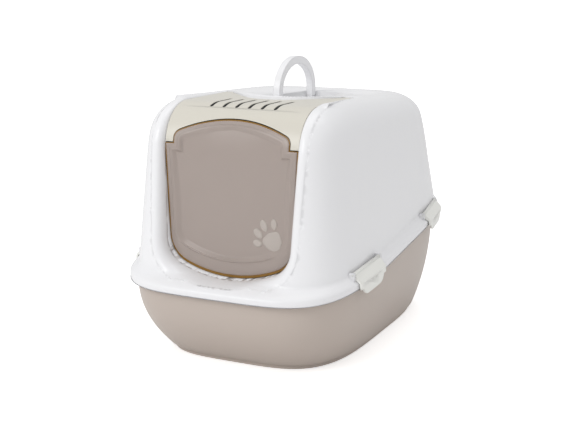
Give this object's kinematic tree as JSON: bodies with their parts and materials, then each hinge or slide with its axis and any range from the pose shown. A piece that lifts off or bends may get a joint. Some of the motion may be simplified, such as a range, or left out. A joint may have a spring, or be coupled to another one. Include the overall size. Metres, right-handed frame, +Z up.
{
  "type": "hooded cat litter box",
  "caption": "Hooded cat litter box with a lift-off hood, side latches, a hinged front panel, a swinging see-through door, a folding carry handle and a roof odour filter.",
  "frame": {"origin": "middle of the box on the floor it stands on, under the middle of the rim", "axes": "+X to the box's right side seen from the back, so to the right of someone who faces the door; +Y from the door to the back; +Z up"},
  "size_m": [0.3984, 0.5601, 0.4461],
  "materials": {
    "tray_plastic": "satin moulded polypropylene",
    "hood_plastic": "glossy moulded polypropylene",
    "panel_plastic": "satin moulded polypropylene",
    "door_plastic": "see-through smoked plastic",
    "latch_plastic": "satin moulded plastic",
    "filter_foam": "open-cell carbon foam"
  },
  "bodies": {
    "tray": {"tray": "tray_plastic"},
    "hood": {"hood": "hood_plastic"},
    "panel": {"front_panel": "panel_plastic", "filter_holder": "panel_plastic", "carbon_filter": "filter_foam"},
    "door": {"swing_door": "door_plastic"},
    "handle": {"carry_handle": "hood_plastic"},
    "latch_front_right": {"latch_front_right": "latch_plastic"},
    "latch_front_left": {"latch_front_left": "latch_plastic"},
    "latch_rear_right": {"latch_rear_right": "latch_plastic"},
    "latch_rear_left": {"latch_rear_left": "latch_plastic"}
  },
  "joints": [
    {"name": "hood_lift", "type": "slide", "parent": "tray", "child": "hood", "axis": [0, 0, 1], "range_m": [0, 0.3]},
    {"name": "panel_hinge", "type": "hinge", "parent": "hood", "child": "panel", "pos_m": [0, -0.0246, 0.3831], "axis": [-1, 0, 0], "range_deg": [0, 95]},
    {"name": "door_swing", "type": "hinge", "parent": "panel", "child": "door", "pos_m": [0, -0.2126, 0.336], "axis": [1, 0, 0], "range_deg": [-70, 70]},
    {"name": "handle_fold", "type": "hinge", "parent": "hood", "child": "handle", "pos_m": [0, 0.003, 0.3781], "axis": [0, 1, 0], "range_deg": [0, 90]},
    {"name": "latch_front_right_flip", "type": "hinge", "parent": "hood", "child": "latch_front_right", "pos_m": [0.18395, -0.13933, 0.1551], "axis": [-0.0783, -0.9899, -0.118], "range_deg": [0, 60]},
    {"name": "latch_front_left_flip", "type": "hinge", "parent": "hood", "child": "latch_front_left", "pos_m": [-0.18395, -0.13933, 0.1551], "axis": [-0.0783, 0.9899, 0.118], "range_deg": [0, 60]},
    {"name": "latch_rear_right_flip", "type": "hinge", "parent": "hood", "child": "latch_rear_right", "pos_m": [0.18307, 0.14915, 0.18699], "axis": [0.0989, -0.9881, -0.1178], "range_deg": [0, 60]},
    {"name": "latch_rear_left_flip", "type": "hinge", "parent": "hood", "child": "latch_rear_left", "pos_m": [-0.18307, 0.14915, 0.18699], "axis": [0.0989, 0.9881, 0.1178], "range_deg": [0, 60]}
  ]
}
